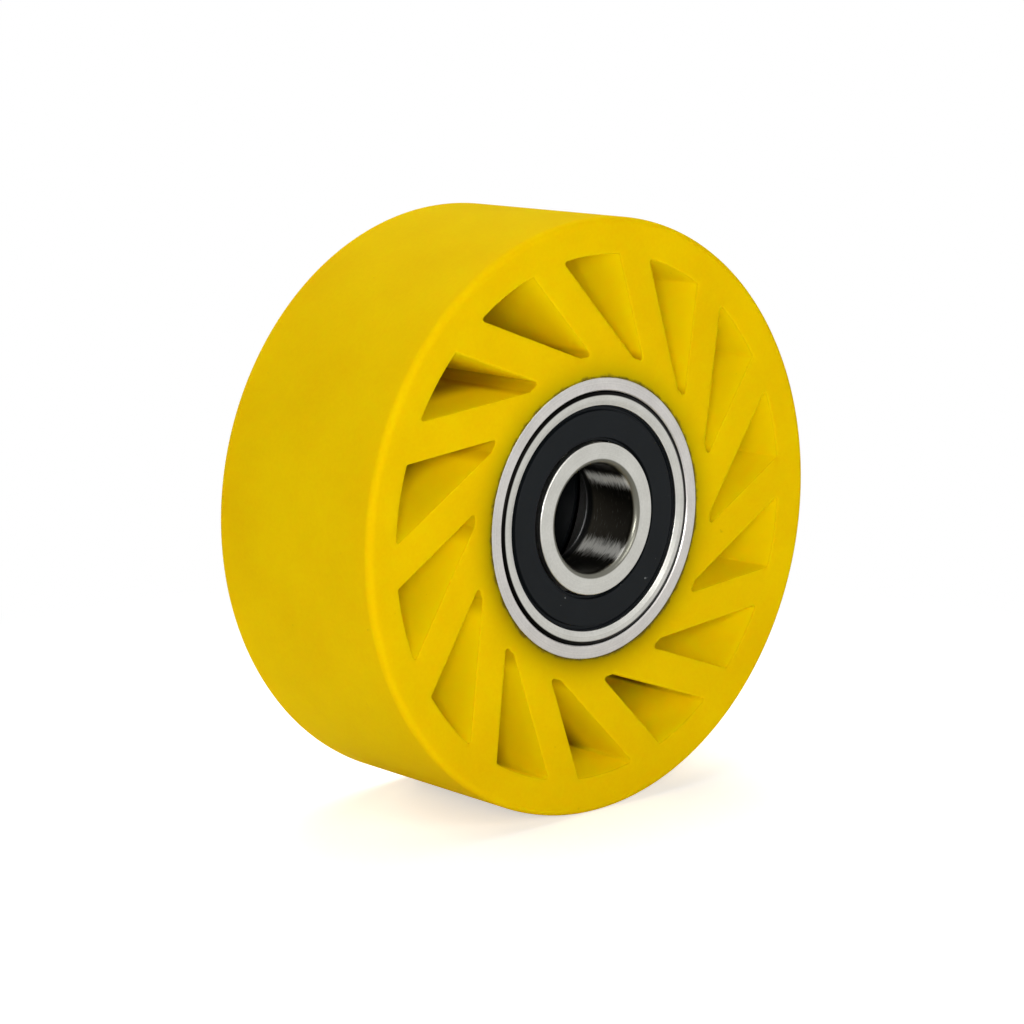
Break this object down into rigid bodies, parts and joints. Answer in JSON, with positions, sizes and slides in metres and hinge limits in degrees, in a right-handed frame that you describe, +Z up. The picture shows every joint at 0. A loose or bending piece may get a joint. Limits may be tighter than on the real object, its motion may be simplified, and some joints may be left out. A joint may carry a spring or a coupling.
{
  "type": "roller wheel",
  "caption": "Cushioned roller wheel: a cast polyurethane tread with leaning spokes and open slots, bonded to a steel sleeve that runs on a sealed ball bearing in each end.",
  "frame": {"origin": "centre of the wheel, on the axle's axis, halfway between the two side faces", "axes": "+Y along the axle, from the face seen in the picture to the far face; +Z up, +X to the right seen from the front"},
  "size_m": [0.11, 0.0422, 0.11],
  "materials": {
    "polyurethane": "satin cast yellow polyurethane",
    "sleeve_steel": "turned",
    "bearing_steel": "ground",
    "ball_steel": "polished",
    "cage_steel": "pressed sheet",
    "seal_rubber": "matt moulded"
  },
  "bodies": {
    "axle_rings": {"front_inner_ring": "bearing_steel", "rear_inner_ring": "bearing_steel"},
    "wheel": {"wheel_body": "polyurethane", "hub_sleeve": "sleeve_steel", "front_outer_ring": "bearing_steel", "front_seal_outboard": "seal_rubber", "front_seal_inboard": "seal_rubber", "rear_outer_ring": "bearing_steel", "rear_seal_outboard": "seal_rubber", "rear_seal_inboard": "seal_rubber"},
    "front_cage": {"front_cage_outboard": "cage_steel", "front_cage_inboard": "cage_steel", "front_cage_rivets": "cage_steel"},
    "front_ball_1": {"front_ball_1": "ball_steel"},
    "front_ball_2": {"front_ball_2": "ball_steel"},
    "front_ball_3": {"front_ball_3": "ball_steel"},
    "front_ball_4": {"front_ball_4": "ball_steel"},
    "front_ball_5": {"front_ball_5": "ball_steel"},
    "front_ball_6": {"front_ball_6": "ball_steel"},
    "front_ball_7": {"front_ball_7": "ball_steel"},
    "front_ball_8": {"front_ball_8": "ball_steel"},
    "rear_cage": {"rear_cage_outboard": "cage_steel", "rear_cage_inboard": "cage_steel", "rear_cage_rivets": "cage_steel"},
    "rear_ball_1": {"rear_ball_1": "ball_steel"},
    "rear_ball_2": {"rear_ball_2": "ball_steel"},
    "rear_ball_3": {"rear_ball_3": "ball_steel"},
    "rear_ball_4": {"rear_ball_4": "ball_steel"},
    "rear_ball_5": {"rear_ball_5": "ball_steel"},
    "rear_ball_6": {"rear_ball_6": "ball_steel"},
    "rear_ball_7": {"rear_ball_7": "ball_steel"},
    "rear_ball_8": {"rear_ball_8": "ball_steel"}
  },
  "joints": [
    {"name": "wheel_spin", "type": "hinge", "parent": "axle_rings", "child": "wheel", "pos_m": [0, 0, 0], "axis": [0, 1, 0], "continuous": true},
    {"name": "front_cage_spin", "type": "hinge", "parent": "axle_rings", "child": "front_cage", "pos_m": [0, -0.013, 0], "axis": [0, 1, 0], "continuous": true},
    {"name": "front_ball_1_spin", "type": "hinge", "parent": "front_cage", "child": "front_ball_1", "pos_m": [0.01547, -0.013, 0.00641], "axis": [0, 1, 0], "continuous": true},
    {"name": "front_ball_2_spin", "type": "hinge", "parent": "front_cage", "child": "front_ball_2", "pos_m": [0.00641, -0.013, 0.01547], "axis": [0, 1, 0], "continuous": true},
    {"name": "front_ball_3_spin", "type": "hinge", "parent": "front_cage", "child": "front_ball_3", "pos_m": [-0.00641, -0.013, 0.01547], "axis": [0, 1, 0], "continuous": true},
    {"name": "front_ball_4_spin", "type": "hinge", "parent": "front_cage", "child": "front_ball_4", "pos_m": [-0.01547, -0.013, 0.00641], "axis": [0, 1, 0], "continuous": true},
    {"name": "front_ball_5_spin", "type": "hinge", "parent": "front_cage", "child": "front_ball_5", "pos_m": [-0.01547, -0.013, -0.00641], "axis": [0, 1, 0], "continuous": true},
    {"name": "front_ball_6_spin", "type": "hinge", "parent": "front_cage", "child": "front_ball_6", "pos_m": [-0.00641, -0.013, -0.01547], "axis": [0, 1, 0], "continuous": true},
    {"name": "front_ball_7_spin", "type": "hinge", "parent": "front_cage", "child": "front_ball_7", "pos_m": [0.00641, -0.013, -0.01547], "axis": [0, 1, 0], "continuous": true},
    {"name": "front_ball_8_spin", "type": "hinge", "parent": "front_cage", "child": "front_ball_8", "pos_m": [0.01547, -0.013, -0.00641], "axis": [0, 1, 0], "continuous": true},
    {"name": "rear_cage_spin", "type": "hinge", "parent": "axle_rings", "child": "rear_cage", "pos_m": [0, 0.013, 0], "axis": [0, 1, 0], "continuous": true},
    {"name": "rear_ball_1_spin", "type": "hinge", "parent": "rear_cage", "child": "rear_ball_1", "pos_m": [0.01547, 0.013, 0.00641], "axis": [0, 1, 0], "continuous": true},
    {"name": "rear_ball_2_spin", "type": "hinge", "parent": "rear_cage", "child": "rear_ball_2", "pos_m": [0.00641, 0.013, 0.01547], "axis": [0, 1, 0], "continuous": true},
    {"name": "rear_ball_3_spin", "type": "hinge", "parent": "rear_cage", "child": "rear_ball_3", "pos_m": [-0.00641, 0.013, 0.01547], "axis": [0, 1, 0], "continuous": true},
    {"name": "rear_ball_4_spin", "type": "hinge", "parent": "rear_cage", "child": "rear_ball_4", "pos_m": [-0.01547, 0.013, 0.00641], "axis": [0, 1, 0], "continuous": true},
    {"name": "rear_ball_5_spin", "type": "hinge", "parent": "rear_cage", "child": "rear_ball_5", "pos_m": [-0.01547, 0.013, -0.00641], "axis": [0, 1, 0], "continuous": true},
    {"name": "rear_ball_6_spin", "type": "hinge", "parent": "rear_cage", "child": "rear_ball_6", "pos_m": [-0.00641, 0.013, -0.01547], "axis": [0, 1, 0], "continuous": true},
    {"name": "rear_ball_7_spin", "type": "hinge", "parent": "rear_cage", "child": "rear_ball_7", "pos_m": [0.00641, 0.013, -0.01547], "axis": [0, 1, 0], "continuous": true},
    {"name": "rear_ball_8_spin", "type": "hinge", "parent": "rear_cage", "child": "rear_ball_8", "pos_m": [0.01547, 0.013, -0.00641], "axis": [0, 1, 0], "continuous": true}
  ],
  "couplings": [
    {"joint": "front_cage_spin", "follows": "wheel_spin", "ratio": 0.61848},
    {"joint": "front_ball_1_spin", "follows": "wheel_spin", "ratio": 1.9916},
    {"joint": "front_ball_2_spin", "follows": "wheel_spin", "ratio": 1.9916},
    {"joint": "front_ball_3_spin", "follows": "wheel_spin", "ratio": 1.9916},
    {"joint": "front_ball_4_spin", "follows": "wheel_spin", "ratio": 1.9916},
    {"joint": "front_ball_5_spin", "follows": "wheel_spin", "ratio": 1.9916},
    {"joint": "front_ball_6_spin", "follows": "wheel_spin", "ratio": 1.9916},
    {"joint": "front_ball_7_spin", "follows": "wheel_spin", "ratio": 1.9916},
    {"joint": "front_ball_8_spin", "follows": "wheel_spin", "ratio": 1.9916},
    {"joint": "rear_cage_spin", "follows": "wheel_spin", "ratio": 0.61848},
    {"joint": "rear_ball_1_spin", "follows": "wheel_spin", "ratio": 1.9916},
    {"joint": "rear_ball_2_spin", "follows": "wheel_spin", "ratio": 1.9916},
    {"joint": "rear_ball_3_spin", "follows": "wheel_spin", "ratio": 1.9916},
    {"joint": "rear_ball_4_spin", "follows": "wheel_spin", "ratio": 1.9916},
    {"joint": "rear_ball_5_spin", "follows": "wheel_spin", "ratio": 1.9916},
    {"joint": "rear_ball_6_spin", "follows": "wheel_spin", "ratio": 1.9916},
    {"joint": "rear_ball_7_spin", "follows": "wheel_spin", "ratio": 1.9916},
    {"joint": "rear_ball_8_spin", "follows": "wheel_spin", "ratio": 1.9916}
  ]
}
